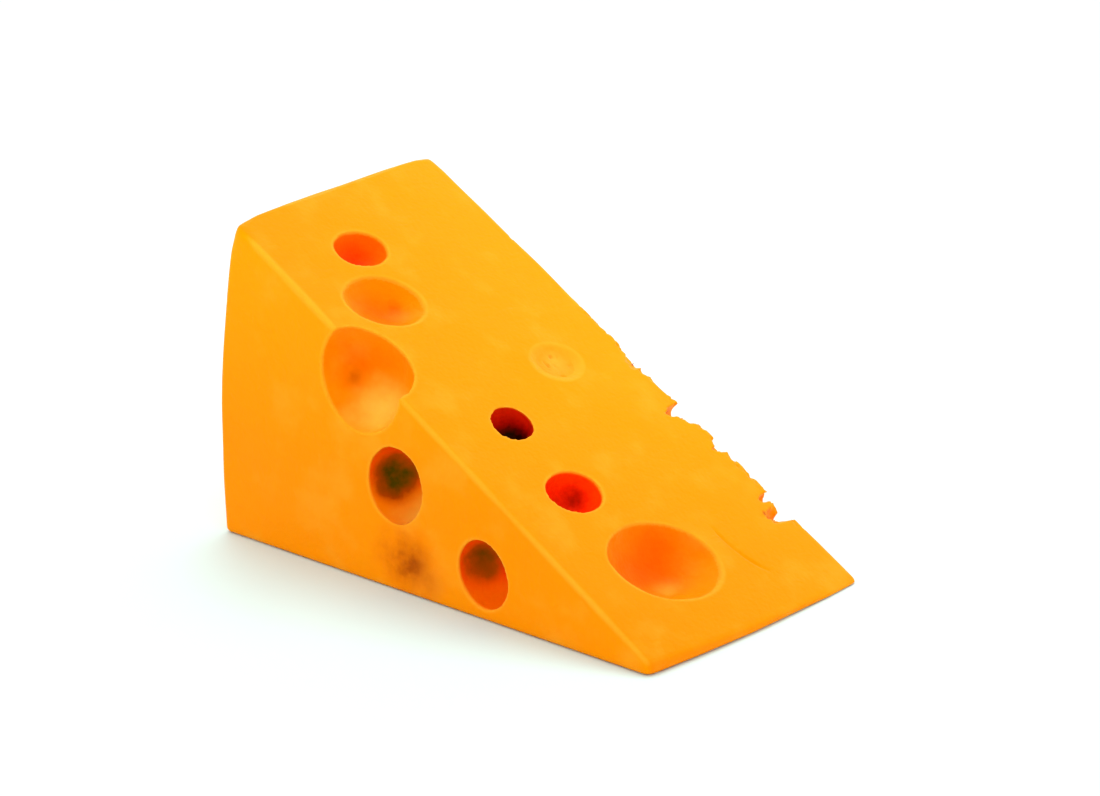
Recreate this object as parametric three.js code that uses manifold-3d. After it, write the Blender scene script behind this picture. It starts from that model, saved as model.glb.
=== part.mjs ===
// A wedge of yellow, large-eyed cheese, resting on one of its two knife-cut faces.
//
// The wedge was cut from a wheel. Its two flat sides are parallel, its rind end is a gentle arc, and
// the upper cut slopes down from the rind to a thin nose. Gas eyes open on every cut face, and the
// far upper edge has crumbled. It is one solid piece.
//
// Millimetres, +Z up. +X points from the rind to the nose, and the near flat side faces -Y. The
// origin is the middle of the bounding box, on the surface that the wedge rests on.

import * as THREE from "three";
import { mergeVertices } from "three/addons/utils/BufferGeometryUtils.js";
import Module from "manifold-3d";

const wasm = await Module();
wasm.setup();

// Driving dimensions of the wedge.
const NEAR_LENGTH = 134.6; // nose to rind, along the near side
const THICKNESS = 76; // between the two flat sides
const HEIGHT = 81.7; // of the rind end
const NOSE_HEIGHT = 3.4; // of the blunt nose on the near side
const NOSE_DROP = 2.6; // how much lower the nose is on the far side
const CROWN = 0.2; // how far the upper cut swells along the near edge, halfway down
const RIDGE_BOW = 0.9; // how much higher the middle of the ridge is, where the rind meets the slope
const NOSE_BOW = 1.6; // how far the middle of the nose bulges
const FAR_TAPER = 1.6; // how far the far side leans in by the time it reaches the nose
const FAR_STRETCH = 0.083; // how much longer the far side is, because the cuts weren't quite square
const RIND_RADIUS = 264; // of the wheel's rim
const RIND_BELLY_HEIGHT = 19; // where the rind bulges furthest
const RIND_HEIGHTS = [9, 19, 29, 39, 49, 59, 69]; // of the points along its arc
const EDGE_ROUND = 1; // of the edges round both flat sides
const NOSE_ROUND = 1.4; // of the nose's two edges
const FOOT_ROUND = 2; // where the rind meets the base
const RIDGE_ROUND = 3; // where the rind meets the upper cut
const SLOPE_STEPS = 8; // strips that the slightly crowned and twisted upper cut is made of
const WIDTH_STEPS = 6;

// Places worked out from them, before the cuts are skewed.
const NOSE_X = NEAR_LENGTH / 2;
const BELLY_X = -NEAR_LENGTH / 2;
const NEAR_Y = -THICKNESS / 2;
const FAR_Y = THICKNESS / 2;
const RIND_CENTRE = new THREE.Vector2(BELLY_X + RIND_RADIUS, RIND_BELLY_HEIGHT);
const RIND_TOP_X = rindX(HEIGHT);
const SLOPE = Math.atan2(HEIGHT - NOSE_HEIGHT, NOSE_X - RIND_TOP_X);
const STRETCH_CENTRE_X = 4.3; // the section that keeps its place as the far side grows longer
const TAPER_START_X = -30;

/** Where the rind's arc is at a height. */
function rindX(z) {
  const rise = z - RIND_CENTRE.y;
  return RIND_CENTRE.x - Math.sqrt(RIND_RADIUS ** 2 - rise ** 2);
}

/** How far along the upper cut a place is: 0 at the rind and 1 at the nose. */
function alongSlope(x) {
  return THREE.MathUtils.clamp((x - RIND_TOP_X) / (NOSE_X - RIND_TOP_X), 0, 1);
}

/** A curve that is 0 at both ends and 1 in the middle. */
function arch(t) {
  return 4 * t * (1 - t);
}

/** The height of the upper cut: `across` is 0 on the near side and 1 on the far side. */
function cutHeight(along, across) {
  const straight = THREE.MathUtils.lerp(HEIGHT, NOSE_HEIGHT, along);
  const crown = CROWN * arch(along) * (1 - across);
  const ridge = RIDGE_BOW * arch(across) * (1 - along) ** 4;
  return straight + crown + ridge - NOSE_DROP * along * across;
}

/** Moves a geometry's points from the square-cut wedge to the slightly skewed one. */
function skew(geometry) {
  const points = geometry.getAttribute("position");
  for (let i = 0; i < points.count; i += 1) {
    const [x, y, z] = [points.getX(i), points.getY(i), points.getZ(i)];
    const across = THREE.MathUtils.clamp((y - NEAR_Y) / THICKNESS, 0, 1);
    const along = alongSlope(x);
    const taper = Math.max(0, (x - TAPER_START_X) / (NOSE_X - TAPER_START_X)) ** 2;
    const bow = NOSE_BOW * arch(across) * along ** 8;
    points.setX(i, x + across * FAR_STRETCH * (x - STRETCH_CENTRE_X) + bow);
    points.setY(i, y - across * FAR_TAPER * taper);
    points.setZ(i, (z * cutHeight(along, across)) / cutHeight(along, 0));
  }
  return geometry;
}

/** A closed outline whose corners are cut off and curved by the distances stated for them. */
function roundedShape(corners) {
  const shape = new THREE.Shape();
  corners.forEach(({ at, round }, i) => {
    const before = corners.at(i - 1).at;
    const after = corners[(i + 1) % corners.length].at;
    const start = at.clone().lerp(before, round / at.distanceTo(before));
    const end = at.clone().lerp(after, round / at.distanceTo(after));
    if (i === 0) shape.moveTo(start.x, start.y);
    else shape.lineTo(start.x, start.y);
    if (round > 0) shape.quadraticCurveTo(at.x, at.y, end.x, end.y);
  });
  return shape;
}

/** The outline of the near side, in X and Z. */
function sideOutline() {
  const corner = (x, z, round = 0) => ({ at: new THREE.Vector2(x, z), round });
  const rind = RIND_HEIGHTS.map((z) => corner(rindX(z), z));
  const slope = Array.from({ length: SLOPE_STEPS - 1 }, (_, i) => {
    const along = (i + 1) / SLOPE_STEPS;
    return corner(THREE.MathUtils.lerp(RIND_TOP_X, NOSE_X, along), cutHeight(along, 0));
  });
  return roundedShape([
    corner(NOSE_X, 0, NOSE_ROUND),
    corner(rindX(0), 0, FOOT_ROUND),
    ...rind,
    corner(RIND_TOP_X, HEIGHT, RIDGE_ROUND),
    ...slope,
    corner(NOSE_X, NOSE_HEIGHT, NOSE_ROUND),
  ]);
}

/** The whole wedge before its eyes and broken edge, lying square to the axes. */
function block() {
  const geometry = new THREE.ExtrudeGeometry(sideOutline(), {
    depth: THICKNESS - 2 * EDGE_ROUND,
    steps: WIDTH_STEPS,
    curveSegments: 3,
    bevelEnabled: true,
    bevelThickness: EDGE_ROUND,
    bevelSize: EDGE_ROUND,
    bevelOffset: -EDGE_ROUND,
    bevelSegments: 3,
  });
  geometry.rotateX(Math.PI / 2);
  geometry.translate(0, THICKNESS / 2 - EDGE_ROUND, 0);
  return geometry;
}

// Each face has an origin and two directions in it, up and across. Inwards is up times across.
const face = (origin, up, across) => ({
  origin: new THREE.Vector3(...origin),
  up: new THREE.Vector3(...up),
  across: new THREE.Vector3(...across),
});
const UP_SLOPE = [-Math.cos(SLOPE), 0, Math.sin(SLOPE)];
const FACES = {
  slope: face([NOSE_X, 0, NOSE_HEIGHT], UP_SLOPE, [0, 1, 0]),
  near: face([0, NEAR_Y, 0], [0, 0, 1], [1, 0, 0]),
  far: face([0, FAR_Y, 0], [0, 0, 1], [-1, 0, 0]),
  base: face([0, 0, 0], [1, 0, 0], [0, 1, 0]),
};

// The eyes: where the middle of the mouth is on its face, the mouth's height and width, the depth,
// and how far the mouth is turned in its face, in degrees.
const EYES = [
  { on: "slope", up: 129.3, across: -10.3, tall: 11.3, wide: 15.6, depth: 6, turn: 9 },
  { on: "slope", up: 113.3, across: -17.5, tall: 16.2, wide: 22.6, depth: 5.2, turn: 19 },
  { on: "slope", up: 81.8, across: 14, tall: 10.8, wide: 13.6, depth: 1.5, turn: 2 },
  { on: "slope", up: 70, across: -14.6, tall: 9.4, wide: 11, depth: 9, turn: -5 },
  { on: "slope", up: 47.4, across: -15.4, tall: 12, wide: 15.3, depth: 8, turn: 3 },
  { on: "slope", up: 22.6, across: -9.1, tall: 22.9, wide: 30, depth: 8.2, turn: 9 },
  { on: "near", up: 26.6, across: -8.9, tall: 18.5, wide: 16.6, depth: 11, turn: 0 },
  { on: "near", up: 11.3, across: 18.3, tall: 16.3, wide: 14.4, depth: 9.5, turn: -17 },
  { on: "far", up: 40, across: 26, tall: 18, wide: 21, depth: 8, turn: 20 },
  { on: "far", up: 21, across: -6, tall: 13, wide: 14, depth: 8.5, turn: 0 },
  { on: "far", up: 17, across: 47, tall: 14, wide: 16, depth: 4, turn: -15 },
  { on: "far", up: 60, across: 48, tall: 10, wide: 11, depth: 5, turn: 0 },
  { on: "base", up: -42, across: 8, tall: 19, wide: 17, depth: 5, turn: 10 },
  { on: "base", up: -12, across: -16, tall: 13, wide: 12, depth: 7, turn: 0 },
  { on: "base", up: 14, across: 17, tall: 17, wide: 21, depth: 4.5, turn: -20 },
];

// The eye that the near upper edge was cut through: where its middle is on the near side, how far
// below that side, and half its size up it, across it and into it.
const EDGE_EYE = { up: 51, across: -19.3, sunk: 0.6, half: [13.2, 12.3, 12.6] };

// Where the far upper edge crumbled: how far up the slope, half the length along the edge, and the
// depth into the slope and down the far side.
const BITES = [
  { up: 149.5, half: 10, depth: 3, drop: 3.4 },
  { up: 118.5, half: 1.1, depth: 1.2, drop: 1.2 },
  { up: 74.4, half: 1.9, depth: 3.4, drop: 1.8 },
  { up: 66.5, half: 4.6, depth: 1.8, drop: 1.4 },
  { up: 57.7, half: 1.7, depth: 7.6, drop: 5.6 },
  { up: 55, half: 1.9, depth: 4, drop: 4 },
  { up: 45, half: 2.4, depth: 3.4, drop: 2.8 },
  { up: 36, half: 1.2, depth: 0.9, drop: 1 },
  { up: 27.8, half: 1.4, depth: 5, drop: 4.2 },
  { up: 23, half: 2.4, depth: 7.8, drop: 5.4 },
];

const EYE_RINGS = 12;
const EYE_SEGMENTS = 20;
const BITE_DETAIL = 1; // times that a bite's icosahedron is divided
const MERGE_DISTANCE = 1e-4; // between corners that are the same point

/** An ellipsoid with its poles along its third axis. */
function ellipsoid(first, second, third) {
  const geometry = new THREE.SphereGeometry(1, EYE_SEGMENTS, EYE_RINGS);
  return geometry.rotateX(Math.PI / 2).scale(first, second, third);
}

/** Turns a geometry's axes to up, across and inwards, and moves it to a place. */
function settle(geometry, up, across, place) {
  const inwards = up.clone().cross(across);
  const matrix = new THREE.Matrix4().makeBasis(up, across, inwards).setPosition(place);
  return geometry.applyMatrix4(matrix);
}

/** The solid of one eye: part of a flattened bubble, whose mouth and depth are as stated. */
function eye({ on, up, across, tall, wide, depth, turn }) {
  const { origin, up: upwards, across: sideways } = FACES[on];
  const mouth = (tall + wide) / 4;
  const radius = (mouth ** 2 + depth ** 2) / (2 * depth);
  const geometry = ellipsoid(
    (radius * tall) / 2 / mouth,
    (radius * wide) / 2 / mouth,
    radius,
  ).rotateZ(THREE.MathUtils.degToRad(turn));
  const place = origin
    .clone()
    .addScaledVector(upwards, up)
    .addScaledVector(sideways, across)
    .addScaledVector(upwards.clone().cross(sideways), depth - radius);
  return settle(geometry, upwards, sideways, place);
}

/** The solid of the eye on the near upper edge. */
function edgeEye({ up, across, sunk, half }) {
  const { origin, up: upwards, across: sideways } = FACES.near;
  const place = origin
    .clone()
    .addScaledVector(upwards, up)
    .addScaledVector(sideways, across)
    .addScaledVector(upwards.clone().cross(sideways), sunk);
  return settle(ellipsoid(...half), upwards, sideways, place);
}

/** The solid of one bite out of the far upper edge. */
function bite({ up, half, depth, drop }) {
  const { origin, up: upwards, across: sideways } = FACES.slope;
  const geometry = new THREE.IcosahedronGeometry(1, BITE_DETAIL).scale(half, depth, drop);
  const place = origin.clone().setY(FAR_Y).addScaledVector(upwards, up);
  return settle(geometry, upwards, sideways, place);
}

/** A closed geometry as a manifold-3d solid. */
function solid(geometry) {
  const bare = geometry.clone();
  bare.deleteAttribute("normal");
  bare.deleteAttribute("uv");
  const merged = mergeVertices(bare, MERGE_DISTANCE);
  return new wasm.Manifold(
    new wasm.Mesh({
      numProp: 3,
      vertProperties: merged.getAttribute("position").array,
      triVerts: new Uint32Array(merged.index.array),
    }),
  );
}

/** A manifold-3d solid as a geometry. */
function geometryOf(manifold) {
  const { vertProperties, triVerts } = manifold.getMesh();
  const geometry = new THREE.BufferGeometry();
  geometry.setAttribute("position", new THREE.BufferAttribute(vertProperties, 3));
  geometry.setIndex(new THREE.BufferAttribute(triVerts, 1));
  geometry.computeVertexNormals();
  return geometry;
}

/** The cheese: the block with every eye and bite taken out of it. */
function cheeseWedge() {
  const hollows = [...EYES.map(eye), edgeEye(EDGE_EYE), ...BITES.map(bite)];
  const cut = hollows.reduce(
    (left, hollow) => left.subtract(solid(skew(hollow))),
    solid(skew(block())),
  );
  const geometry = geometryOf(cut);
  geometry.computeBoundingBox();
  const { min, max } = geometry.boundingBox;
  geometry.translate(-(min.x + max.x) / 2, -(min.y + max.y) / 2, -min.z);
  const material = new THREE.MeshStandardMaterial({
    color: 0xffaa0a, // deep yellow paste
    roughness: 0.5,
    metalness: 0,
  });
  const mesh = new THREE.Mesh(geometry, material);
  mesh.name = "cheese_wedge";
  return mesh;
}

const wedge = new THREE.Group();
wedge.add(cheeseWedge());

export default wedge;
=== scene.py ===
"""A wedge of large-eyed yellow cheese, lying on one of its cut faces on a pale studio floor.

The wedge is made as a real one is. A wheel is turned, and knife cuts leave a straight-sided block
of it. Gas eyes are opened in its faces, the far upper edge crumbles, and the block is skewed a
little, because the cuts weren't quite square.

Lengths are in millimetres until the finished mesh is scaled to metres.
"""

import logging
import math
from dataclasses import dataclass, field
from enum import Enum

import bmesh
import bpy
import numpy as np
from mathutils import Matrix, Vector, noise


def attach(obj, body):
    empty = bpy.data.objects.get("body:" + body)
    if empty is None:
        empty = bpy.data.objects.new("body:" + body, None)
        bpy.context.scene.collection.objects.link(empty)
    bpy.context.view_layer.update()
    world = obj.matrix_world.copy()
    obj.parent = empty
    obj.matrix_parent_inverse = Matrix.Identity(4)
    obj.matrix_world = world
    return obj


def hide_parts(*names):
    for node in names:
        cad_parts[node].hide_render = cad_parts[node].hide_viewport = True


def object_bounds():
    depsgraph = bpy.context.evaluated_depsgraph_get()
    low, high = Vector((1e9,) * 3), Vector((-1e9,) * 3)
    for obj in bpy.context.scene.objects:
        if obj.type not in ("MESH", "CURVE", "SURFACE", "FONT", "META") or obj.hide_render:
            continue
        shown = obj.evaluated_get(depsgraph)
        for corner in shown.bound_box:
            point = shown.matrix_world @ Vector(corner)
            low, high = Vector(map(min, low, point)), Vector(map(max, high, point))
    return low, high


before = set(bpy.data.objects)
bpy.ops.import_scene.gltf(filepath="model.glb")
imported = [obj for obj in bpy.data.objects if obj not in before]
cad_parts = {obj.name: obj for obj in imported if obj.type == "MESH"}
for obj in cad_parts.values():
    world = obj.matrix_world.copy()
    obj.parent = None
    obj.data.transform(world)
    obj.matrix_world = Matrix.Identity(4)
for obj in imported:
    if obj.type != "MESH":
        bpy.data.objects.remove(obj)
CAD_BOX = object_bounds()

log = logging.getLogger("cheese")

METRES = 0.001
CLEARANCE = 2e-6
NODE = "cheese_wedge"
BODY = "root"

# Farther from any rim than a point of the wedge can be, in millimetres.
FAR_AWAY = 1000.0

# The shortest and the longest of a group of waves, as shares of their usual size.
WAVE_SPREAD = (0.6, 1.8)

# How a fractal noise's steps get smaller: its roughness, its steps' ratio and how many there are.
FRACTAL = (1.0, 2.0, 3)

# The sockets of a node that mixes two colours, whose names aren't its own.
MIX_SHARE, MIX_FROM, MIX_TO = 0, 6, 7
MIXED = 2


def linear(code: str) -> tuple[float, float, float, float]:
    """Turn an sRGB hex colour into linear light.

    Args:
        code: Six hex digits, such as "ffaa00".

    Returns:
        Red, green, blue and an alpha of 1.
    """
    parts = [int(code[i : i + 2], 16) / 255 for i in (0, 2, 4)]
    light = [c / 12.92 if c <= 0.04045 else ((c + 0.055) / 1.055) ** 2.4 for c in parts]
    return (*light, 1.0)


def add_node(
    tree: bpy.types.NodeTree, kind: str, sockets: dict | None = None, **settings: object
) -> bpy.types.Node:
    """Add a node to a tree, and set or link what goes into it.

    Args:
        tree: The tree to add to.
        kind: The node's type, such as "ShaderNodeMix".
        sockets: Input name or number to a value, or to the output socket that feeds it.
        settings: The node's own properties.

    Returns:
        The new node.
    """
    node = tree.nodes.new(kind)
    for name, value in settings.items():
        setattr(node, name, value)
    for name, value in (sockets or {}).items():
        socket = node.inputs[name]
        if isinstance(value, bpy.types.NodeSocket):
            tree.links.new(value, socket)
        else:
            socket.default_value = value
    return node


def applied(
    mesh: bpy.types.Mesh, *modifiers: tuple[str, dict], groups: dict[str, np.ndarray] | None = None
) -> bpy.types.Mesh:
    """Run a mesh through modifiers, and keep the result.

    Args:
        mesh: The mesh to start from, which is used up.
        modifiers: Each modifier's type and settings, in order.
        groups: Vertex groups the modifiers use, as a name and every vertex's weight.

    Returns:
        The finished mesh.
    """
    carrier = bpy.data.objects.new("carrier", mesh)
    bpy.context.scene.collection.objects.link(carrier)
    for name, weights in (groups or {}).items():
        group = carrier.vertex_groups.new(name=name)
        for index in np.flatnonzero(weights):
            group.add([int(index)], float(weights[index]), "REPLACE")
    for kind, settings in modifiers:
        modifier = carrier.modifiers.new(kind.title(), kind)
        for name, value in settings.items():
            setattr(modifier, name, value)
    depsgraph = bpy.context.evaluated_depsgraph_get()
    result = bpy.data.meshes.new_from_object(carrier.evaluated_get(depsgraph))
    bpy.data.objects.remove(carrier)
    bpy.data.meshes.remove(mesh)
    return result


def array_of(items: bpy.types.bpy_prop_collection, name: str, width: int) -> np.ndarray:
    """Read one property of every item into an array.

    Args:
        items: A mesh's vertices or normals.
        name: The property.
        width: How many numbers it has.

    Returns:
        One row for each item.
    """
    values = np.empty(len(items) * width)
    items.foreach_get(name, values)
    return values.reshape(-1, width)


def arch(t: np.ndarray | float) -> np.ndarray | float:
    """Follow a curve that is 0 at both ends and 1 in the middle."""
    return 4 * t * (1 - t)


def ease(values: np.ndarray, start: float, end: float) -> np.ndarray:
    """Rise smoothly from 0 at the start to 1 at the end, which may lie below the start."""
    t = np.clip((values - start) / (end - start), 0, 1)
    return t * t * (3 - 2 * t)


def waves(points: np.ndarray, size: float, seed: int, count: int = 24) -> np.ndarray:
    """Add up random plane waves, for an unevenness that repeats nowhere.

    Args:
        points: One row of coordinates for each point.
        size: The usual distance between two crests.
        seed: Which waves to use.
        count: How many waves are added up.

    Returns:
        A value for each point, with a mean of 0 and a spread of about 1.
    """
    chance = np.random.default_rng(seed)
    ways = chance.normal(size=(count, 3))
    ways /= np.linalg.norm(ways, axis=1, keepdims=True)
    lengths = size * chance.uniform(*WAVE_SPREAD, count)
    phases = chance.uniform(0, 2 * math.pi, count)
    swell = np.sin(points @ (2 * math.pi * ways / lengths[:, None]).T + phases)
    return swell.sum(axis=1) * math.sqrt(2 / count)


class Face(Enum):
    """A face of the wedge that eyes open on."""

    SLOPE = "the upper cut"
    NEAR = "the near flat side"
    FAR = "the far flat side"
    BASE = "the lower cut"


@dataclass(frozen=True)
class Eye:
    """A gas eye that a cut has opened: part of a flattened bubble.

    The mouth is placed up and across its face. Its height, its width and the eye's depth are measured
    there, and the turn is in degrees. The lit and brown shares say how far the light reaches its lower
    wall, which lifts the painted shade there, and how much brown painted shade its floor gets. The
    brown rises above the middle by a share of the bubble's half height.
    """

    face: Face
    up: float
    across: float
    tall: float
    wide: float
    depth: float
    turn: float = 0.0
    lit: float = 0.0
    brown: float = 0.0
    brown_rise: float = 0.0


@dataclass(frozen=True)
class Bubble:
    """The whole gas bubble that an eye is part of.

    Its place is its middle, with its axes up, across and in. Its half sizes are along them. The
    depth is how deep the eye is, and the narrowness is that depth against the mouth's radius.
    """

    place: Matrix
    half: tuple[float, float, float]
    depth: float
    narrowness: float
    lit: float
    brown: float
    brown_rise: float


@dataclass(frozen=True)
class Chip:
    """A piece that has broken off the far upper edge.

    It is placed up the slope. Half its length is along the edge, its depth is into the slope and
    its drop is down the far side.
    """

    up: float
    half: float
    depth: float
    drop: float


@dataclass(frozen=True)
class Corner:
    """An upper corner that handling has worn round, how far from it, and how much from 0 to 1."""

    at_nose: bool
    at_far_side: bool
    reach: float
    amount: float


@dataclass(frozen=True)
class WedgeForm:
    """The wedge's sizes, and how its square-cut block is skewed to the real one."""

    near_length: float = 134.6
    thickness: float = 76.0
    height: float = 81.7
    nose_height: float = 3.4
    nose_drop: float = 2.6
    crown: float = 0.2
    ridge_bow: float = 0.9
    ridge_bow_power: int = 4
    nose_bow: float = 1.6
    nose_bow_power: int = 8
    far_taper: float = 1.6
    taper_start: float = -30.0
    far_stretch: float = 0.083
    stretch_centre: float = 4.3
    rind_radius: float = 264.0
    belly_height: float = 19.0

    @property
    def nose_x(self) -> float:
        """Where the nose is."""
        return self.near_length / 2

    @property
    def side_y(self) -> float:
        """How far each flat side is from the middle."""
        return self.thickness / 2

    @property
    def wheel_centre(self) -> Vector:
        """Where the middle of the wheel was."""
        return Vector((self.rind_radius - self.near_length / 2, 0, self.belly_height))

    @property
    def ridge_x(self) -> float:
        """Where the rind meets the upper cut."""
        rise = self.height - self.belly_height
        return self.wheel_centre.x - math.sqrt(self.rind_radius**2 - rise**2)

    @property
    def up_slope(self) -> Vector:
        """The way up the upper cut."""
        run = Vector((self.ridge_x - self.nose_x, 0, self.height - self.nose_height))
        return run.normalized()

    def axes(self, face: Face) -> tuple[Vector, Vector, Vector]:
        """Give a face's starting point, and the ways up and across it.

        Args:
            face: The face.

        Returns:
            The point, the way up and the way across. Up times across is the way in.
        """
        up = Vector((0, 0, 1))
        return {
            Face.SLOPE: (Vector((self.nose_x, 0, self.nose_height)), self.up_slope, Vector((0, 1, 0))),
            Face.NEAR: (Vector((0, -self.side_y, 0)), up, Vector((1, 0, 0))),
            Face.FAR: (Vector((0, self.side_y, 0)), up, Vector((-1, 0, 0))),
            Face.BASE: (Vector((0, 0, 0)), Vector((1, 0, 0)), Vector((0, 1, 0))),
        }[face]

    def along(self, x: np.ndarray) -> np.ndarray:
        """Say how far down the upper cut a place is, from 0 at the ridge to 1 at the nose."""
        return np.clip((x - self.ridge_x) / (self.nose_x - self.ridge_x), 0, 1)

    def depths(self, points: np.ndarray) -> np.ndarray:
        """Measure how far points of the square-cut block are below each of its faces.

        Args:
            points: One row of coordinates for each point.

        Returns:
            One row for each point: below the upper cut, the near side, the far side, the lower
            cut, the nose and the rind.
        """
        x, y, z = points.T
        inwards = self.up_slope.cross(Vector((0, 1, 0)))
        centre = self.wheel_centre
        below = [
            (x - self.nose_x) * inwards.x + (z - self.nose_height) * inwards.z,
            y + self.side_y,
            self.side_y - y,
            z,
            self.nose_x - x,
            self.rind_radius - np.hypot(x - centre.x, z - centre.z),
        ]
        return np.stack(below, axis=1)

    def skewed(self, points: np.ndarray) -> np.ndarray:
        """Move points from the square-cut block to the real wedge.

        Args:
            points: One row of coordinates for each point.

        Returns:
            The moved points.
        """
        x, y, z = points.T
        along = self.along(x)
        across = np.clip(y / self.thickness + 0.5, 0, 1)
        straight = self.height + (self.nose_height - self.height) * along
        real = (
            straight
            + self.crown * arch(along) * (1 - across)
            + self.ridge_bow * arch(across) * (1 - along) ** self.ridge_bow_power
            - self.nose_drop * along * across
        )
        taper = np.maximum(0, (x - self.taper_start) / (self.nose_x - self.taper_start)) ** 2
        bow = self.nose_bow * arch(across) * along**self.nose_bow_power
        return np.stack(
            [
                x + across * self.far_stretch * (x - self.stretch_centre) + bow,
                y - across * self.far_taper * taper,
                z * real / straight,
            ],
            axis=1,
        )


EYES = (
    Eye(Face.SLOPE, up=129.3, across=-10.3, tall=11.3, wide=15.6, depth=6.0, turn=9),
    Eye(Face.SLOPE, up=113.3, across=-17.5, tall=16.2, wide=22.6, depth=5.2, turn=19),
    Eye(Face.SLOPE, up=81.3, across=14.0, tall=11.8, wide=15.0, depth=1.8, turn=2),
    Eye(Face.SLOPE, up=70.0, across=-14.6, tall=9.4, wide=11.0, depth=9.0, turn=-5),
    Eye(Face.SLOPE, up=47.4, across=-15.4, tall=12.0, wide=15.3, depth=8.0, turn=3),
    Eye(Face.SLOPE, up=22.6, across=-9.1, tall=22.9, wide=30.0, depth=8.2, turn=9, lit=0.5),
    Eye(
        Face.NEAR, up=26.6, across=-8.9, tall=18.5, wide=16.6, depth=11.0,
        lit=1.0, brown=1.0, brown_rise=-0.1,
    ),
    Eye(
        Face.NEAR, up=11.3, across=18.3, tall=16.3, wide=14.4, depth=9.5, turn=-17,
        lit=0.45, brown=0.75, brown_rise=0.2,
    ),
    Eye(Face.FAR, up=40.0, across=26.0, tall=18.0, wide=21.0, depth=8.0, turn=20, lit=0.5),
    Eye(Face.FAR, up=21.0, across=-6.0, tall=13.0, wide=14.0, depth=8.5, lit=0.5, brown=0.4),
    Eye(Face.FAR, up=17.0, across=47.0, tall=14.0, wide=16.0, depth=4.0, turn=-15, lit=0.5),
    Eye(Face.FAR, up=60.0, across=48.0, tall=10.0, wide=11.0, depth=5.0, lit=0.5),
    Eye(Face.BASE, up=-42.0, across=8.0, tall=19.0, wide=17.0, depth=5.0, turn=10),
    Eye(Face.BASE, up=-12.0, across=-16.0, tall=13.0, wide=12.0, depth=7.0),
    Eye(Face.BASE, up=14.0, across=17.0, tall=17.0, wide=21.0, depth=4.5, turn=-20),
)

# The shallow eye that closed up again, and has a wrinkled floor.
BLIND_EYE = EYES[2]

CHIPS = (
    Chip(up=118.5, half=1.1, depth=1.0, drop=1.0),
    Chip(up=86.0, half=2.6, depth=1.2, drop=1.0),
    Chip(up=77.5, half=2.2, depth=1.6, drop=1.4),
    Chip(up=75.2, half=1.4, depth=3.6, drop=1.8),
    Chip(up=73.2, half=1.2, depth=3.8, drop=1.8),
    Chip(up=70.6, half=1.7, depth=2.5, drop=1.8),
    Chip(up=66.5, half=4.6, depth=1.8, drop=1.4),
    Chip(up=57.7, half=1.7, depth=8.2, drop=6.5),
    Chip(up=55.6, half=1.3, depth=4.6, drop=4.2),
    Chip(up=54.0, half=1.1, depth=4.0, drop=4.2),
    Chip(up=46.0, half=1.6, depth=2.6, drop=2.4),
    Chip(up=44.1, half=1.7, depth=4.6, drop=3.2),
    Chip(up=41.0, half=1.6, depth=1.4, drop=1.6),
    Chip(up=36.0, half=1.2, depth=0.9, drop=1.0),
    Chip(up=27.8, half=1.3, depth=5.6, drop=4.6),
    Chip(up=25.4, half=1.2, depth=3.2, drop=2.6),
    Chip(up=23.2, half=1.7, depth=9.0, drop=6.5),
    Chip(up=21.6, half=1.2, depth=7.4, drop=4.6),
)

CORNERS = (
    Corner(at_nose=False, at_far_side=False, reach=9.0, amount=1.0),
    Corner(at_nose=False, at_far_side=True, reach=7.0, amount=0.55),
    Corner(at_nose=True, at_far_side=False, reach=5.0, amount=0.35),
    Corner(at_nose=True, at_far_side=True, reach=6.0, amount=0.2),
)


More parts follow.
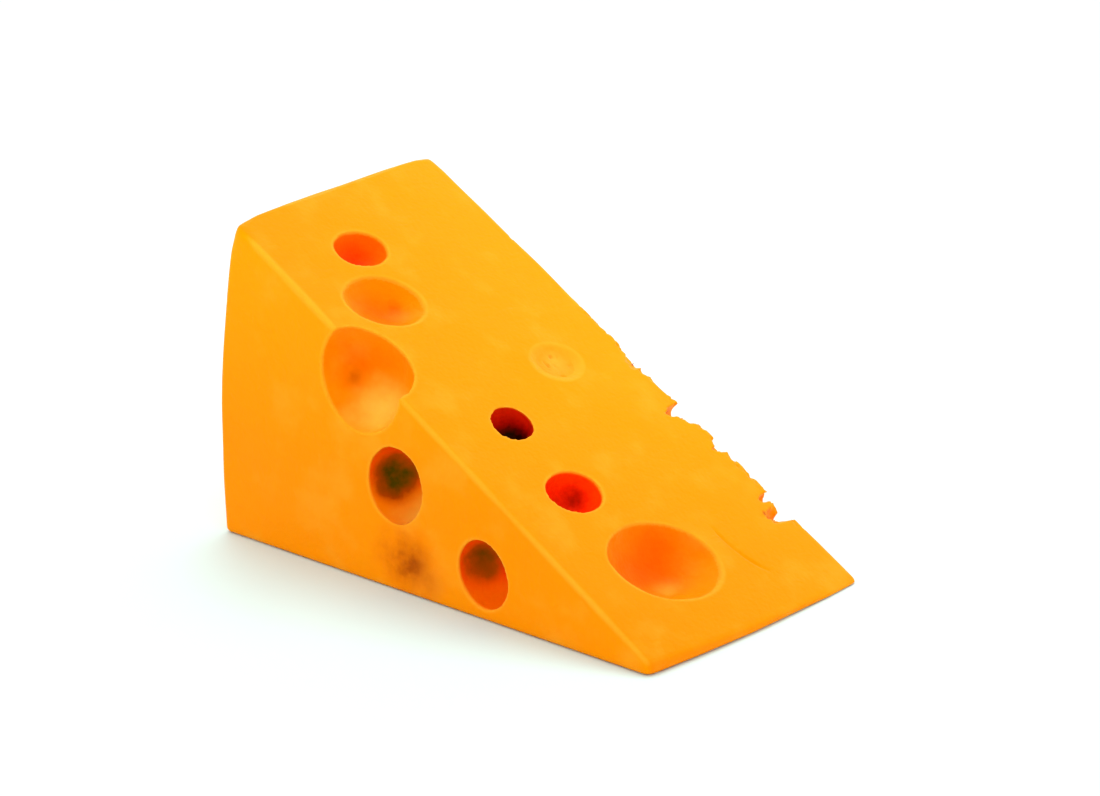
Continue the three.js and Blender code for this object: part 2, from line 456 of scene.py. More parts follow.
@dataclass
class CheeseWedge:
    """The wedge: a block of the wheel with its eyes, its broken edge and its paste.

    Sizes, heights and depths are in millimetres, and an unevenness is a share of its hollow. A field
    that ends in band is where something starts and where it is complete. The first fields are for the
    block and its hollows, then for its wear, its crumbs, the blind eye's wrinkles, the knife nick and
    the eye on the near upper edge. From the narrowest on, they are for the paste's painted light: the
    painted shade deep in the eyes, its brown in some of them, and the painted highlight along the
    crease and the eye rims.
    """

    form: WedgeForm = field(default_factory=WedgeForm)
    wheel_segments: int = 300
    edge_round: float = 1.2
    edge_segments: int = 4
    sharp_angle: float = math.radians(20)
    voxel: float = 0.45
    triangles: int = 190_000
    eye_unevenness: float = 0.035
    chip_unevenness: float = 0.4
    unevenness_pitch: float = 1.3
    eye_seed: float = 3.1
    chip_seed: float = 7.7
    soften_factor: float = 0.5
    soften_passes: int = 3
    wear_passes: int = 120
    swell_size: float = 24.0
    swell_height: float = 0.10
    flat_band: tuple[float, float] = (0.5, 4.0)
    crumb_size: float = 2.0
    crumb_height: float = 0.45
    crumb_bias: float = 0.2
    crumb_edge_band: tuple[float, float] = (3.2, 0.6)
    crumb_low_band: tuple[float, float] = (14.0, 22.0)
    crumb_high_band: tuple[float, float] = (100.0, 78.0)
    wrinkle_size: float = 2.3
    wrinkle_height: float = 0.45
    wrinkle_core: float = 2.5
    nick_centre: tuple[float, float] = (47.7, 28.2)
    nick_radius: float = 16.4
    nick_half: float = 8.0
    nick_width: float = 0.7
    nick_depth: float = 0.5
    nick_skin_band: tuple[float, float] = (2.0, 1.0)
    edge_eye_up: float = 51.0
    edge_eye_across: float = -19.3
    edge_eye_sunk: float = 0.6
    edge_eye_half: tuple[float, float, float] = (13.2, 12.3, 12.6)
    edge_eye_depth: float = 11.0
    edge_eye_narrowness: float = 0.52
    narrowest: float = 1.25
    bubble_band: tuple[float, float] = (1.2, 1.1)
    skin_band: tuple[float, float] = (0.05, 1.3)
    lit_band: tuple[float, float] = (0.2, -0.7)
    wall_shade: float = 0.1
    wall_gain: float = 0.55
    wall_limit: float = 0.78
    brown_fade: float = 0.4
    brown_middle: tuple[float, float, float] = (0.0, -0.6, 0.5)
    brown_reach: float = 0.88
    rim_skin: float = 1.0
    corner_reach: float = 9.0
    corner_gain: float = 0.2
    highlight_edge_band: tuple[float, float] = (-10.0, -30.0)
    highlight_edge_gain: float = 0.35

    def cut_block(self) -> bpy.types.Mesh:
        """Turn a wheel and cut the straight-sided block out of it.

        Returns:
            The block, with its edges a little rounded.
        """
        form = self.form
        bm = bmesh.new()
        bmesh.ops.create_cone(
            bm,
            cap_ends=True,
            segments=self.wheel_segments,
            radius1=form.rind_radius,
            radius2=form.rind_radius,
            depth=form.thickness,
            matrix=Matrix.Translation(form.wheel_centre) @ Matrix.Rotation(math.pi / 2, 4, "X"),
        )
        knife_cuts = (
            (Vector((0, 0, 0)), Vector((0, 0, -1))),
            (Vector((form.nose_x, 0, form.nose_height)), Vector((0, 1, 0)).cross(form.up_slope)),
            (Vector((form.nose_x, 0, 0)), Vector((1, 0, 0))),
        )
        for point, outwards in knife_cuts:
            cut = bmesh.ops.bisect_plane(
                bm,
                geom=[*bm.verts, *bm.edges, *bm.faces],
                plane_co=point,
                plane_no=outwards,
                clear_outer=True,
            )
            rim = [part for part in cut["geom_cut"] if isinstance(part, bmesh.types.BMEdge)]
            bmesh.ops.edgeloop_fill(bm, edges=rim)
        sharp = [edge for edge in bm.edges if edge.calc_face_angle(0) > self.sharp_angle]
        bmesh.ops.bevel(
            bm,
            geom=sharp,
            offset=self.edge_round,
            offset_type="OFFSET",
            segments=self.edge_segments,
            profile=0.5,
            affect="EDGES",
            material=-1,
        )
        bmesh.ops.recalc_face_normals(bm, faces=bm.faces)
        return self.to_mesh(bm, "block")

    def to_mesh(self, bm: bmesh.types.BMesh, name: str) -> bpy.types.Mesh:
        """Turn a bmesh into a mesh, and free it.

        Args:
            bm: The bmesh, which is used up.
            name: The mesh's name.

        Returns:
            The mesh.
        """
        mesh = bpy.data.meshes.new(name)
        bm.to_mesh(mesh)
        bm.free()
        return mesh

    def hollow(
        self, place: Matrix, half: tuple[float, float, float], rough: float, seed: float
    ) -> bpy.types.Mesh:
        """Make a slightly uneven ball, to take out of the block.

        Args:
            place: Its middle, and which way its three axes point.
            half: Half its size along each axis.
            rough: How uneven it is, as a share of its size.
            seed: Which unevenness it has.

        Returns:
            The ball.
        """
        bm = bmesh.new()
        bmesh.ops.create_icosphere(bm, subdivisions=4, radius=1.0)
        offset = Vector((seed, -seed, seed * 0.5))
        for vert in bm.verts:
            spot = vert.co * self.unevenness_pitch + offset
            vert.co *= 1 + rough * noise.fractal(spot, *FRACTAL)
        bmesh.ops.transform(bm, verts=bm.verts, matrix=place @ Matrix.Diagonal((*half, 1)))
        return self.to_mesh(bm, "hollow")

    def facing(self, face: Face, up: float, across: float, sunk: float, turn: float = 0.0) -> Matrix:
        """Give the place and axes of something on a face.

        Args:
            face: The face.
            up: How far up the face it is.
            across: How far across the face it is.
            sunk: How far below the face it is.
            turn: How far it is turned in the face, in degrees.

        Returns:
            A matrix whose axes are up, across and in.
        """
        start, upwards, sideways = self.form.axes(face)
        inwards = upwards.cross(sideways)
        place = start + upwards * up + sideways * across + inwards * sunk
        axes = Matrix((upwards, sideways, inwards)).transposed().to_4x4()
        return Matrix.Translation(place) @ axes @ Matrix.Rotation(math.radians(turn), 4, "Z")

    def bubbles(self) -> list[Bubble]:
        """Work out the whole bubble behind each eye.

        Returns:
            The bubbles, with the one on the near upper edge last.
        """
        found = []
        for eye in EYES:
            mouth = (eye.tall + eye.wide) / 4
            radius = (mouth**2 + eye.depth**2) / (2 * eye.depth)
            half = (radius * eye.tall / 2 / mouth, radius * eye.wide / 2 / mouth, radius)
            place = self.facing(eye.face, eye.up, eye.across, eye.depth - radius, eye.turn)
            bubble = Bubble(
                place=place,
                half=half,
                depth=eye.depth,
                narrowness=min(eye.depth / mouth, self.narrowest),
                lit=eye.lit,
                brown=eye.brown,
                brown_rise=eye.brown_rise,
            )
            found.append(bubble)
        place = self.facing(Face.NEAR, self.edge_eye_up, self.edge_eye_across, self.edge_eye_sunk)
        edge_bubble = Bubble(
            place=place,
            half=self.edge_eye_half,
            depth=self.edge_eye_depth,
            narrowness=self.edge_eye_narrowness,
            lit=1.0,
            brown=0.0,
            brown_rise=0.0,
        )
        return [*found, edge_bubble]

    def carve(self, block: bpy.types.Mesh) -> bpy.types.Mesh:
        """Open the eyes in the block, and break the chips off its far upper edge.

        Args:
            block: The block, which is used up.

        Returns:
            The carved block.
        """
        solids = [
            self.hollow(bubble.place, bubble.half, self.eye_unevenness, self.eye_seed * number)
            for number, bubble in enumerate(self.bubbles())
        ]
        for number, chip in enumerate(CHIPS):
            place = self.facing(Face.SLOPE, chip.up, self.form.side_y, 0)
            half = (chip.half, chip.depth, chip.drop)
            solids.append(self.hollow(place, half, self.chip_unevenness, self.chip_seed * number))
        collection = bpy.data.collections.new("hollows")
        bpy.context.scene.collection.children.link(collection)
        for solid in solids:
            collection.objects.link(bpy.data.objects.new("hollow", solid))
        difference = {
            "operation": "DIFFERENCE",
            "solver": "EXACT",
            "operand_type": "COLLECTION",
            "collection": collection,
        }
        carved = applied(block, ("BOOLEAN", difference))
        for solid in solids:
            bpy.data.meshes.remove(solid)
        bpy.data.collections.remove(collection)
        return carved

    def wear(self, points: np.ndarray) -> np.ndarray:
        """Say how worn each point is, from 0 to 1, most at an upper corner itself.

        Args:
            points: One row of coordinates for each point of the square-cut block.

        Returns:
            A share for each point.
        """
        form = self.form
        worn = np.zeros(len(points))
        for corner in CORNERS:
            x, z = (form.nose_x, form.nose_height) if corner.at_nose else (form.ridge_x, form.height)
            y = form.side_y if corner.at_far_side else -form.side_y
            apart = np.linalg.norm(points - (x, y, z), axis=1)
            worn = np.maximum(worn, corner.amount * ease(apart, corner.reach, 0))
        return worn

    def unevenness(self, points: np.ndarray) -> np.ndarray:
        """Say how far the surface dips at each point.

        A cut face swells a little, because a knife is never quite steady. The far upper edge is
        crumbly, the blind eye's floor is wrinkled, and a knife's tip left a short curved nick
        beside the biggest eye. The lower cut stays flat, because it has taken the weight.

        Args:
            points: One row of coordinates for each point of the square-cut block.

        Returns:
            A depth for each point.
        """
        depths = self.form.depths(points)
        up = (points - self.form.axes(Face.SLOPE)[0]) @ np.array(self.form.up_slope)
        swell = self.swell_height * (1 + waves(points, self.swell_size, seed=4))
        edge = np.hypot(depths[:, 0], depths[:, 2])
        crumbly = (
            ease(edge, *self.crumb_edge_band)
            * ease(up, *self.crumb_low_band)
            * ease(up, *self.crumb_high_band)
        )
        crumbs = self.crumb_bias + waves(points, self.crumb_size, seed=11)
        crumbs = self.crumb_height * np.maximum(0, crumbs)
        blind = self.facing(BLIND_EYE.face, BLIND_EYE.up, BLIND_EYE.across, sunk=0).translation
        off_blind = np.linalg.norm(points - np.array(blind), axis=1)
        in_blind = ease(off_blind, BLIND_EYE.tall / 2, self.wrinkle_core)
        wrinkles = self.wrinkle_height * waves(points, self.wrinkle_size, seed=21) * in_blind
        nick_x, nick_y = self.nick_centre
        off_nick = np.abs(np.hypot(points[:, 0] - nick_x, points[:, 1] - nick_y) - self.nick_radius)
        beside = np.abs(points[:, 0] - nick_x - self.nick_half / 2)
        nick = ease(off_nick, self.nick_width, 0) * ease(beside, self.nick_half, self.nick_half / 2)
        nick *= self.nick_depth * ease(depths[:, 0], *self.nick_skin_band) * (points[:, 1] < nick_y)
        dips = np.maximum(0, swell + wrinkles) + crumbs * crumbly + nick
        return dips * ease(points[:, 2], *self.flat_band)

    def colours(self, mesh: bpy.types.Mesh, points: np.ndarray) -> None:
        """Store what the paste's material needs to know at each point.

        The shade is how far into an eye a point is, more in a narrow one, and the material paints it as
        shade. The brown is how much brown painted shade the eye's floor gets. The rim and the crease
        are distances in millimetres, from the nearest eye's rim and from the edge between the near side
        and the upper cut, where the material paints highlights.

        Args:
            mesh: The mesh to store them on.
            points: Its points, in the square-cut block.
        """
        depths = self.form.depths(points)
        below = depths[:, :4].min(axis=1)
        # Painted shade: darker deeper in a narrower eye, lifted where the light reaches the lower wall.
        # Brown painted shade goes on the floors of eyes that have brown.
        shade = np.zeros(len(points))
        brown = np.zeros(len(points))
        rim = np.full(len(points), FAR_AWAY)
        for bubble in self.bubbles():
            turned = (points - np.array(bubble.place.translation)) @ np.array(bubble.place.to_3x3())
            local = turned / np.array(bubble.half)
            reach = np.linalg.norm(local, axis=1)
            inside = ease(reach, *self.bubble_band) * ease(below, *self.skin_band)
            low = ease(local[:, 0], *self.lit_band) * bubble.lit
            floor = np.clip(below / bubble.depth, 0, 1)
            wall = min(self.wall_shade + self.wall_gain * bubble.narrowness, self.wall_limit)
            wall *= 1 - self.brown_fade * bubble.brown
            tone = bubble.narrowness * (wall + (1 - wall) * floor**2) * inside * (1 - low)
            shade = np.maximum(shade, tone)
            middle = np.array(self.brown_middle) + (bubble.brown_rise, 0, 0)
            off_brown = np.linalg.norm(local - middle, axis=1)
            browned = bubble.brown * inside * ease(off_brown, self.brown_reach, self.brown_reach / 3)
            brown = np.maximum(brown, browned)
            mouth = math.sqrt(bubble.depth * (2 * bubble.half[2] - bubble.depth))
            outside = np.abs(reach - 1) * bubble.half[2] ** 2 / mouth
            rim = np.minimum(rim, np.where(below < self.rim_skin, outside, FAR_AWAY))
        crease = np.hypot(depths[:, 0], depths[:, 1])
        top = (self.form.ridge_x, -self.form.side_y, self.form.height)
        off_top = np.linalg.norm(points - top, axis=1)
        # The painted highlight along the crease fades near the top corner, and widens towards the
        # ridge.
        crease += self.corner_gain * np.maximum(0, self.corner_reach - off_top)
        crease -= self.highlight_edge_gain * ease(points[:, 0], *self.highlight_edge_band)
        for name, values in {"shade": shade, "brown": brown, "rim": rim, "crease": crease}.items():
            attribute = mesh.attributes.new(name, "FLOAT", "POINT")
            attribute.data.foreach_set("value", values.astype(np.float32))

    def place(self, points: np.ndarray) -> np.ndarray:
        """Skew points of the square-cut block, and bring them to their place in the CAD's box.

        Args:
            points: One row of coordinates for each point of the square-cut block.

        Returns:
            The points in metres.
        """
        form = self.form
        rind_x = form.wheel_centre.x - form.rind_radius
        ends = form.skewed(np.array([(rind_x, form.side_y, 0), (form.nose_x, form.side_y, 0)]))
        middle = (ends[0, 0] + ends[1, 0]) / 2
        real = (form.skewed(points) - (middle, 0, 0)) * METRES
        low, high = (np.array(corner) for corner in CAD_BOX)
        return np.clip(real, low + CLEARANCE, high - CLEARANCE) - (0, 0, CLEARANCE)

    def build(self) -> bpy.types.Object:
        """Make the wedge's mesh, in metres.

        Returns:
            The finished piece, undressed.
        """
        carved = self.carve(self.cut_block())
        fine = applied(carved, ("REMESH", {"mode": "VOXEL", "voxel_size": self.voxel}))
        soften = {"factor": self.soften_factor, "iterations": self.soften_passes}
        fine = applied(fine, ("SMOOTH", soften))
        rub = {"factor": self.soften_factor, "iterations": self.wear_passes, "vertex_group": "worn"}
        worn = self.wear(array_of(fine.vertices, "co", 3))
        fine = applied(fine, ("SMOOTH", rub), groups={"worn": worn})
        points = array_of(fine.vertices, "co", 3)
        normals = array_of(fine.vertex_normals, "vector", 3)
        points -= normals * self.unevenness(points)[:, None]
        fine.vertices.foreach_set("co", points.ravel())
        count = 2 * len(fine.polygons)
        piece_mesh = applied(fine, ("DECIMATE", {"ratio": min(1.0, self.triangles / count)}))
        log.info("remeshed to %d triangles, thinned to %d", count, len(piece_mesh.polygons))
        points = array_of(piece_mesh.vertices, "co", 3)
        self.colours(piece_mesh, points)
        piece_mesh.vertices.foreach_set("co", self.place(points).ravel())
        piece_mesh.polygons.foreach_set("use_smooth", [True] * len(piece_mesh.polygons))
        piece_mesh.update()
        piece = bpy.data.objects.new("cheese_wedge_paste", piece_mesh)
        bpy.context.scene.collection.objects.link(piece)
        return piece


@dataclass(frozen=True)
class Spot:
    """A round patch in the paste, in millimetres from the middle of the wedge's base."""

    centre: tuple[float, float, float]
    radius: float
    strength: float


BROWN_SPOTS = (
    # A darker brown patch low on the near side, laid as three overlapping spots.
    Spot(centre=(-4.3, -38.0, 8.3), radius=12.0, strength=0.55),
    Spot(centre=(-9.0, -38.0, 9.5), radius=9.0, strength=0.3),
    Spot(centre=(1.0, -38.0, 5.0), radius=9.0, strength=0.3),
    # A darker brown smear inside the eye on the near upper edge.
    Spot(centre=(-27.9, -30.5, 48.2), radius=5.5, strength=0.34),
    # Brown painted shade in the biggest eye.
    Spot(centre=(42.8, -4.0, 13.8), radius=8.0, strength=0.2),
    # Three small dark dots near the far upper edge.
    Spot(centre=(3.8, 35.7, 40.1), radius=1.3, strength=0.8),
    Spot(centre=(16.4, 34.3, 30.8), radius=1.3, strength=0.6),
    Spot(centre=(50.3, 29.3, 14.3), radius=1.3, strength=0.6),
)

PAINTED_SHADE_SPOTS = (
    # Painted shade: darker floors in two narrow eyes, the upper wall of the biggest eye, a fold in the
    # second eye and a little in the top eye.
    Spot(centre=(24.2, -11.2, 24.1), radius=3.8, strength=0.2),
    Spot(centre=(5.6, -11.5, 32.2), radius=8.5, strength=0.48),
    Spot(centre=(42.8, -4.0, 13.8), radius=9.0, strength=0.08),
    Spot(centre=(-31.0, -12.5, 60.0), radius=3.4, strength=0.12),
    Spot(centre=(-47.9, -7.1, 69.1), radius=5.0, strength=0.04),
)

PAINTED_LIGHT_SPOTS = (
    # Painted light on the lower walls of the eye on the near upper edge, which face up to the light.
    Spot(centre=(-19.8, -31.0, 42.5), radius=10.0, strength=1.0),
    Spot(centre=(-24.5, -34.0, 38.5), radius=7.0, strength=0.4),
    # Painted light on the lit lower wall of the higher eye on the near side.
    Spot(centre=(-6.5, -33.0, 19.8), radius=8.5, strength=0.6),
    # A painted highlight on the shallow blind eye.
    Spot(centre=(-2.8, 14.6, 45.1), radius=7.0, strength=0.38),
    # Painted light on a notch in the biggest eye's lower rim.
    Spot(centre=(49.4, -8.0, 7.1), radius=4.5, strength=0.25),
)


@dataclass(frozen=True)
class Fade:
    """A change of one value with another, from low at the start to high at the end."""

    start: float
    end: float
    low: float = 0.0
    high: float = 1.0

    def of(self, value: bpy.types.NodeSocket) -> dict:
        """Give the sockets of a map range that fades with an output."""
        ends = {"From Min": self.start, "From Max": self.end}
        return {"Value": value, **ends, "To Min": self.low, "To Max": self.high}


@dataclass(frozen=True)
class Patterns:
    """The node tree of the paste, and the outputs that its layers are made from.

    The place is in millimetres, and the wandering place is the same with soft, uneven steps. The
    mottle, the speckle and the warp are noises. The rest are what the mesh stores.
    """

    tree: bpy.types.NodeTree
    place: bpy.types.NodeSocket
    wandering: bpy.types.NodeSocket
    mottle: bpy.types.NodeSocket
    speckle: bpy.types.NodeSocket
    warp: bpy.types.NodeSocket
    shade: bpy.types.NodeSocket
    brown: bpy.types.NodeSocket
    rim: bpy.types.NodeSocket
    crease: bpy.types.NodeSocket


@dataclass(frozen=True)
class CheesePaste:
    """Firm yellow cheese paste, cut with a knife.

    The cut leaves a satin face with a little fat on it. The paste lets light in, so edges look soft.
    The deep red of a narrow eye's walls is painted shade, the paler crease, rims and patches are
    painted light, and the faces' tints are painted light and shade. Sizes are in millimetres.
    """

    # Painted shade: the paste's colour from an open face to the floor of the deepest, narrowest eye,
    # where it is near black.
    shades: tuple[tuple[float, str], ...] = (
        (0.00, "fd9200"),
        (0.14, "fc8900"),
        (0.28, "fb7200"),
        (0.50, "fb4d00"),
        (0.63, "f22a00"),
        (0.75, "c81400"),
        (0.88, "6e0600"),
        (1.00, "220200"),
    )
    full_shade: float = 1.6
    browns: tuple[tuple[float, str], ...] = ((0.0, "ea6400"), (0.5, "b04c00"), (1.0, "4c4600"))
    painted_highlight: str = "ffc648"
    sheen: str = "ffb800"
    # Painted light and shade across the faces: the upper cut yellower to the far side and oranger to
    # the nose, the near side oranger but yellower high up.
    far_tint: tuple[float, float, float] = (1.0, 1.09, 1.6)
    near_tint: tuple[float, float, float] = (1.0, 0.93, 1.0)
    high_tint: tuple[float, float, float] = (1.0, 1.28, 1.0)
    front_tint: tuple[float, float, float] = (1.0, 0.86, 0.7)
    mottle_size: float = 11.0
    speckle_size: float = 1.1
    warp_size: float = 4.0
    warp_reach: float = 4.0
    waver_fade: Fade = Fade(start=0.6, end=1.4, low=0.94, high=1.06)
    side_fade: Fade = Fade(start=-34.0, end=34.0)
    upper_fade: Fade = Fade(start=-37.6, end=-36.6)
    high_fade: Fade = Fade(start=25.0, end=75.0)
    front_fade: Fade = Fade(start=5.0, end=60.0)
    # Painted highlights along the crease and on the eye rims, and a faint painted sheen where the
    # mottle is high; none goes deep in the eyes' painted shade.
    crease_fade: Fade = Fade(start=1.6, end=0.4, high=0.24)
    rim_fade: Fade = Fade(start=1.3, end=0.3, high=0.17)
    painted_sheen_fade: Fade = Fade(start=0.48, end=0.72, high=0.11)
    open_fade: Fade = Fade(start=0.3, end=0.7, low=1.0, high=0.0)
    patchy_fade: Fade = Fade(start=0.3, end=0.7, low=0.65, high=1.15)
    brown_fade: Fade = Fade(start=0.0, end=0.5)
    polish_fade: Fade = Fade(start=0.0, end=0.6, low=0.5, high=0.36)
    knife_marks: tuple[float, float, float] = (0.7, 0.04, 0.7)
    grain_height: float = 0.12
    specular: float = 0.06
    translucency: float = 0.25
    light_reach: float = 3.0
    light_colour: tuple[float, float, float] = (1.0, 0.35, 0.08)

    def coloured(
        self, node: bpy.types.Node, stops: tuple[tuple[float, str], ...]
    ) -> bpy.types.NodeSocket:
        """Give a colour ramp its stops.

        Args:
            node: The ramp's node.
            stops: Each stop's position and colour.

        Returns:
            The ramp's colour output.
        """
        elements = node.color_ramp.elements
        while len(elements) < len(stops):
            elements.new(0.5)
        for element, (position, code) in zip(elements, stops):
            element.position = position
            element.color = linear(code)
        return node.outputs["Color"]

    def spotted(self, patterns: Patterns, spots: tuple[Spot, ...]) -> bpy.types.NodeSocket:
        """Lay out round soft patches, with slightly uneven rims.

        Args:
            patterns: The tree and its outputs.
            spots: The patches.

        Returns:
            The output with the strongest patch at each place.
        """
        tree = patterns.tree
        total = None
        for spot in spots:
            ends = {0: patterns.wandering, 1: spot.centre}
            apart = add_node(tree, "ShaderNodeVectorMath", ends, operation="DISTANCE")
            soft = add_node(
                tree,
                "ShaderNodeMapRange",
                Fade(start=spot.radius, end=0.0, high=spot.strength).of(apart.outputs["Value"]),
                interpolation_type="SMOOTHSTEP",
            )
            found = soft.outputs[0]
            if total is not None:
                both = {0: total, 1: found}
                found = add_node(tree, "ShaderNodeMath", both, operation="MAXIMUM").outputs[0]
            total = found
        return total

    def patterns(self, tree: bpy.types.NodeTree) -> Patterns:
        """Add the nodes that every layer of the paste is made from.

        Args:
            tree: The material's tree.

        Returns:
            The tree and its outputs.
        """
        stored = {
            name: add_node(tree, "ShaderNodeAttribute", attribute_name=name).outputs["Fac"]
            for name in ("shade", "brown", "rim", "crease")
        }
        coords = add_node(tree, "ShaderNodeTexCoord").outputs["Object"]
        millimetres = {0: coords, "Scale": 1 / METRES}
        place = add_node(tree, "ShaderNodeVectorMath", millimetres, operation="SCALE").outputs[0]
        mottle, speckle, warp = (
            add_node(tree, "ShaderNodeTexNoise", {"Vector": place, "Scale": 1 / size, "Detail": detail})
            for size, detail in (
                (self.mottle_size, 4.0),
                (self.speckle_size, 3.0),
                (self.warp_size, 3.0),
            )
        )
        # The noise lies about a half, so half the reach is taken off again.
        reach = (self.warp_reach,) * 3
        steps = {0: warp.outputs["Color"], 1: reach, 2: place}
        drift = add_node(tree, "ShaderNodeVectorMath", steps, operation="MULTIPLY_ADD").outputs[0]
        back = {0: drift, 1: tuple(step / 2 for step in reach)}
        wandering = add_node(tree, "ShaderNodeVectorMath", back, operation="SUBTRACT").outputs[0]
        return Patterns(
            tree=tree,
            place=place,
            wandering=wandering,
            mottle=mottle.outputs["Fac"],
            speckle=speckle.outputs["Fac"],
            warp=warp.outputs["Fac"],
            **stored,
        )

    def shaded(self, patterns: Patterns) -> bpy.types.NodeSocket:
        """Colour the paste with painted shade, by how deep in an eye it is.

        The painted shade wavers a little with the mottling and the specks, so eye walls look grown.

        Args:
            patterns: The tree and its outputs.

        Returns:
            The colour.
        """
        tree = patterns.tree
        noises = {0: patterns.mottle, 1: patterns.speckle}
        waver = add_node(tree, "ShaderNodeMath", noises, operation="ADD").outputs[0]
        spread = add_node(tree, "ShaderNodeMapRange", self.waver_fade.of(waver)).outputs[0]
        sockets = {0: patterns.shade, 1: spread}
        shade = add_node(tree, "ShaderNodeMath", sockets, operation="MULTIPLY").outputs[0]
        sockets = {0: shade, 1: self.full_shade}
        share = add_node(tree, "ShaderNodeMath", sockets, operation="DIVIDE").outputs[0]
        sockets = {0: share, 1: self.spotted(patterns, PAINTED_SHADE_SPOTS)}
        deeper = add_node(tree, "ShaderNodeMath", sockets, operation="ADD").outputs[0]
        ramp = add_node(tree, "ShaderNodeValToRGB", {"Fac": deeper})
        return self.coloured(ramp, self.shades)

    def tinted(self, patterns: Patterns, paste: bpy.types.NodeSocket) -> bpy.types.NodeSocket:
        """Tint the paste by where on the wedge it is, with painted light and shade.

        The upper cut is yellower towards the far side, and oranger towards the near one and the nose.
        The near side is yellower high up. Each stands for how the light falls on the faces.

        Args:
            patterns: The tree and its outputs.
            paste: The colour so far.

        Returns:
            The tinted colour.
        """
        tree = patterns.tree
        split = add_node(tree, "ShaderNodeSeparateXYZ", {0: patterns.place}).outputs
        side, upper, high, front = (
            add_node(tree, "ShaderNodeMapRange", fade.of(split[axis])).outputs[0]
            for fade, axis in (
                (self.side_fade, "Y"),
                (self.upper_fade, "Y"),
                (self.high_fade, "Z"),
                (self.front_fade, "X"),
            )
        )
        sockets = {0: 1.0, 1: upper}
        near = add_node(tree, "ShaderNodeMath", sockets, operation="SUBTRACT").outputs[0]
        sockets = {0: high, 1: near}
        high_near = add_node(tree, "ShaderNodeMath", sockets, operation="MULTIPLY").outputs[0]
        sockets = {0: front, 1: upper}
        front_upper = add_node(tree, "ShaderNodeMath", sockets, operation="MULTIPLY").outputs[0]
        sockets = {
            MIX_SHARE: side,
            MIX_FROM: (*self.near_tint, 1),
            MIX_TO: (*self.far_tint, 1),
        }
        across = add_node(tree, "ShaderNodeMix", sockets, data_type="RGBA").outputs[MIXED]
        for share, colour in (
            (1.0, across),
            (high_near, (*self.high_tint, 1)),
            (front_upper, (*self.front_tint, 1)),
        ):
            paste = add_node(
                tree,
                "ShaderNodeMix",
                {MIX_SHARE: share, MIX_FROM: paste, MIX_TO: colour},
                data_type="RGBA",
                blend_type="MULTIPLY",
            ).outputs[MIXED]
        return paste

    def highlighted(self, patterns: Patterns, paste: bpy.types.NodeSocket) -> bpy.types.NodeSocket:
        """Paint highlights into the paste, as a paler colour.

        That is along the crease, on the rims of the eyes, in the painted light spots and in a faint
        painted sheen over the faces.

        Args:
            patterns: The tree and its outputs.
            paste: The colour so far.

        Returns:
            The colour with its pale places.
        """
        tree = patterns.tree
        painted_highlight = self.spotted(patterns, PAINTED_LIGHT_SPOTS)
        for fade, value in (
            (self.crease_fade, patterns.crease),
            (self.rim_fade, patterns.rim),
            (self.painted_sheen_fade, patterns.mottle),
        ):
            soft = add_node(
                tree, "ShaderNodeMapRange", fade.of(value), interpolation_type="SMOOTHSTEP"
            )
            sockets = {0: painted_highlight, 1: soft.outputs[0]}
            painted_highlight = add_node(tree, "ShaderNodeMath", sockets, operation="MAXIMUM").outputs[0]
        open_face = add_node(tree, "ShaderNodeMapRange", self.open_fade.of(patterns.shade))
        sockets = {0: painted_highlight, 1: open_face.outputs[0]}
        painted_highlight = add_node(tree, "ShaderNodeMath", sockets, operation="MULTIPLY").outputs[0]
        sockets = {MIX_SHARE: painted_highlight, MIX_FROM: paste, MIX_TO: linear(self.painted_highlight)}
        return add_node(tree, "ShaderNodeMix", sockets, data_type="RGBA").outputs[MIXED]

    def browned(self, patterns: Patterns, paste: bpy.types.NodeSocket) -> bpy.types.NodeSocket:
        """Brown the paste: brown painted shade in the narrow eyes on the near side, and the brown
        spots.

        Args:
            patterns: The tree and its outputs.
            paste: The colour so far.

        Returns:
            The colour with its brown places.
        """
        tree = patterns.tree
        sockets = {0: patterns.brown, 1: self.spotted(patterns, BROWN_SPOTS)}
        brown = add_node(tree, "ShaderNodeMath", sockets, operation="MAXIMUM").outputs[0]
        patchy = add_node(tree, "ShaderNodeMapRange", self.patchy_fade.of(patterns.warp)).outputs[0]
        sockets = {0: brown, 1: patchy}
        brown = add_node(tree, "ShaderNodeMath", sockets, operation="MULTIPLY").outputs[0]
        amount = add_node(tree, "ShaderNodeMapRange", self.brown_fade.of(brown)).outputs[0]
        ramp = add_node(tree, "ShaderNodeValToRGB", {"Fac": brown})
        colour = self.coloured(ramp, self.browns)
        sockets = {MIX_SHARE: amount, MIX_FROM: paste, MIX_TO: colour}
        return add_node(tree, "ShaderNodeMix", sockets, data_type="RGBA").outputs[MIXED]

    def grained(self, patterns: Patterns) -> bpy.types.NodeSocket:
        """Roughen the face with a very fine grain and knife marks.

        A knife mark is about 1.4 mm across and 25 mm long.

        Args:
            patterns: The tree and its outputs.

        Returns:
            The bumped normal.
        """
        tree = patterns.tree
        sockets = {0: patterns.wandering, 1: self.knife_marks}
        drawn = add_node(tree, "ShaderNodeVectorMath", sockets, operation="MULTIPLY").outputs[0]
        sockets = {"Vector": drawn, "Scale": 1.0, "Detail": 2.0}
        knife = add_node(tree, "ShaderNodeTexNoise", sockets).outputs["Fac"]
        sockets = {0: patterns.speckle, 1: knife}
        grain = add_node(tree, "ShaderNodeMath", sockets, operation="ADD").outputs[0]
        sockets = {"Height": grain, "Strength": 1.0, "Distance": self.grain_height * METRES}
        return add_node(tree, "ShaderNodeBump", sockets).outputs[0]

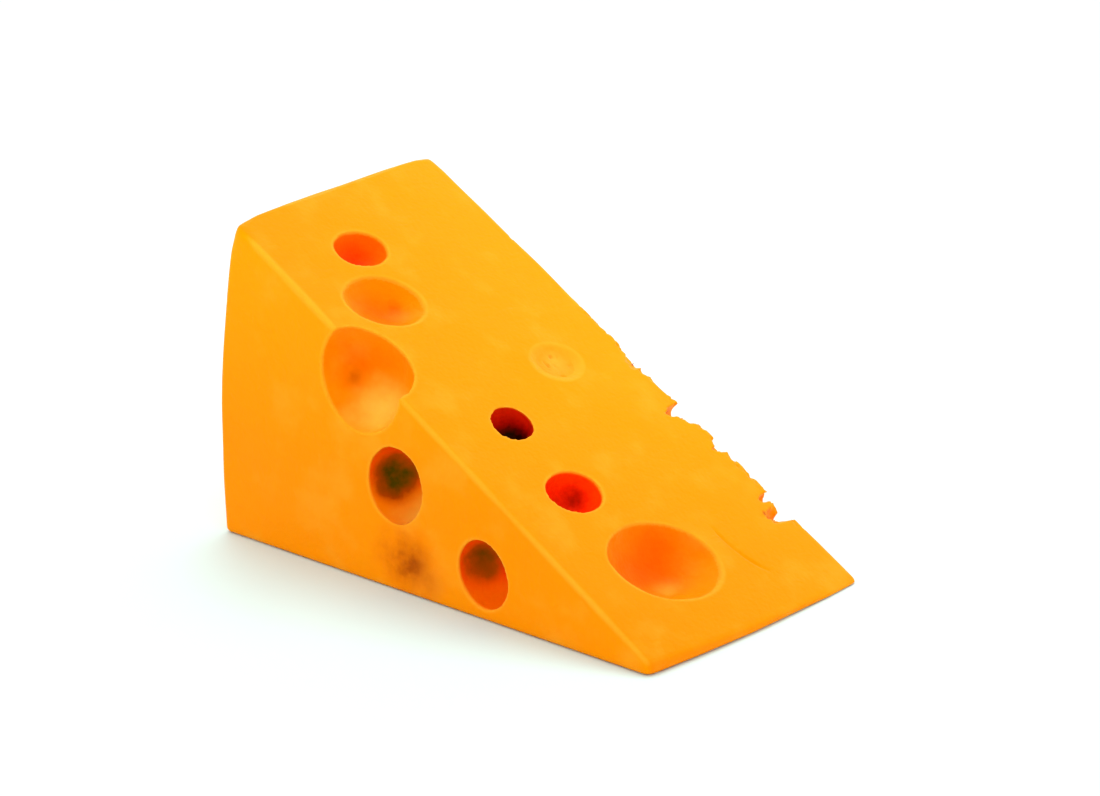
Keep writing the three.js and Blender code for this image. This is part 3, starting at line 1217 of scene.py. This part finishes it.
    def material(self) -> bpy.types.Material:
        """Make the paste's material.

        Returns:
            A satin yellow paste that is a little shinier inside the eyes.
        """
        material = bpy.data.materials.new("knife_cut_cheese_paste")
        material.use_nodes = True
        tree = material.node_tree
        shader = tree.nodes["Principled BSDF"]
        patterns = self.patterns(tree)
        paste = self.tinted(patterns, self.shaded(patterns))
        paste = self.browned(patterns, self.highlighted(patterns, paste))
        polish = add_node(tree, "ShaderNodeMapRange", self.polish_fade.of(patterns.shade))
        tree.links.new(paste, shader.inputs["Base Color"])
        tree.links.new(polish.outputs[0], shader.inputs["Roughness"])
        tree.links.new(self.grained(patterns), shader.inputs["Normal"])
        shader.inputs["Specular IOR Level"].default_value = self.specular
        shader.inputs["Specular Tint"].default_value = linear(self.sheen)
        shader.inputs["Subsurface Weight"].default_value = self.translucency
        shader.inputs["Subsurface Radius"].default_value = self.light_colour
        shader.inputs["Subsurface Scale"].default_value = self.light_reach * METRES
        return material


@dataclass(frozen=True)
class Studio:
    """A pale floor, a white dome, one broad soft light from above, and the camera."""

    azimuth: float = 39.84
    elevation: float = 19.80
    distance: float = 0.7288
    target: tuple[float, float, float] = (0.00819, -0.0009, 0.0423)
    lens: float = 100.0
    sensor: float = 36.0
    floor_size: float = 8.0
    floor_tone: str = "d0e7e3"
    dome_strength: float = 1.23
    sun_strength: float = 1.2
    sun_angle: float = math.radians(40)
    sun_from: tuple[float, float, float] = (-0.2, 0.3, 1.0)
    floor_roughness: float = 0.6
    floor_specular: float = 0.2
    clip_start: float = 0.01
    clip_end: float = 100.0

    def floor(self) -> None:
        """Lay the floor: matt painted board, which takes only the wedge's soft shadow."""
        bm = bmesh.new()
        bmesh.ops.create_grid(bm, x_segments=1, y_segments=1, size=self.floor_size / 2)
        mesh = bpy.data.meshes.new("floor")
        bm.to_mesh(mesh)
        bm.free()
        floor = bpy.data.objects.new("floor", mesh)
        bpy.context.scene.collection.objects.link(floor)
        material = bpy.data.materials.new("pale_matte_floor")
        material.use_nodes = True
        shader = material.node_tree.nodes["Principled BSDF"]
        shader.inputs["Base Color"].default_value = linear(self.floor_tone)
        shader.inputs["Roughness"].default_value = self.floor_roughness
        shader.inputs["Specular IOR Level"].default_value = self.floor_specular
        mesh.materials.append(material)

    def lights(self) -> None:
        """Set up the dome and the broad light."""
        world = bpy.data.worlds.new("white_dome")
        world.use_nodes = True
        background = world.node_tree.nodes["Background"]
        background.inputs["Color"].default_value = (1, 1, 1, 1)
        background.inputs["Strength"].default_value = self.dome_strength
        bpy.context.scene.world = world
        sun = bpy.data.lights.new("softbox", "SUN")
        sun.energy = self.sun_strength
        sun.angle = self.sun_angle
        lamp = bpy.data.objects.new("softbox", sun)
        lamp.rotation_euler = Vector(self.sun_from).to_track_quat("Z", "Y").to_euler()
        bpy.context.scene.collection.objects.link(lamp)

    def camera(self) -> None:
        """Place the camera."""
        a, e = math.radians(self.azimuth), math.radians(self.elevation)
        back = Vector((math.sin(a) * math.cos(e), -math.cos(a) * math.cos(e), math.sin(e)))
        data = bpy.data.cameras.new("camera")
        data.lens = self.lens
        data.sensor_width = self.sensor
        data.sensor_fit = "HORIZONTAL"
        data.clip_start = self.clip_start
        data.clip_end = self.clip_end
        camera = bpy.data.objects.new("camera", data)
        camera.location = Vector(self.target) + back * self.distance
        camera.rotation_euler = (-back).to_track_quat("-Z", "Y").to_euler()
        bpy.context.scene.collection.objects.link(camera)
        bpy.context.scene.camera = camera


def main() -> None:
    """Build the studio and the wedge, and report the piece."""
    logging.basicConfig(level=logging.INFO, format="%(name)s: %(message)s")
    bpy.context.scene.view_settings.view_transform = "Standard"
    studio = Studio()
    studio.camera()
    studio.floor()
    studio.lights()
    piece = CheeseWedge().build()
    piece.data.materials.append(CheesePaste().material())
    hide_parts(NODE)
    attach(piece, BODY)
    log.info("%s: %d faces", piece.name, len(piece.data.polygons))


if __name__ == "__main__":
    main()
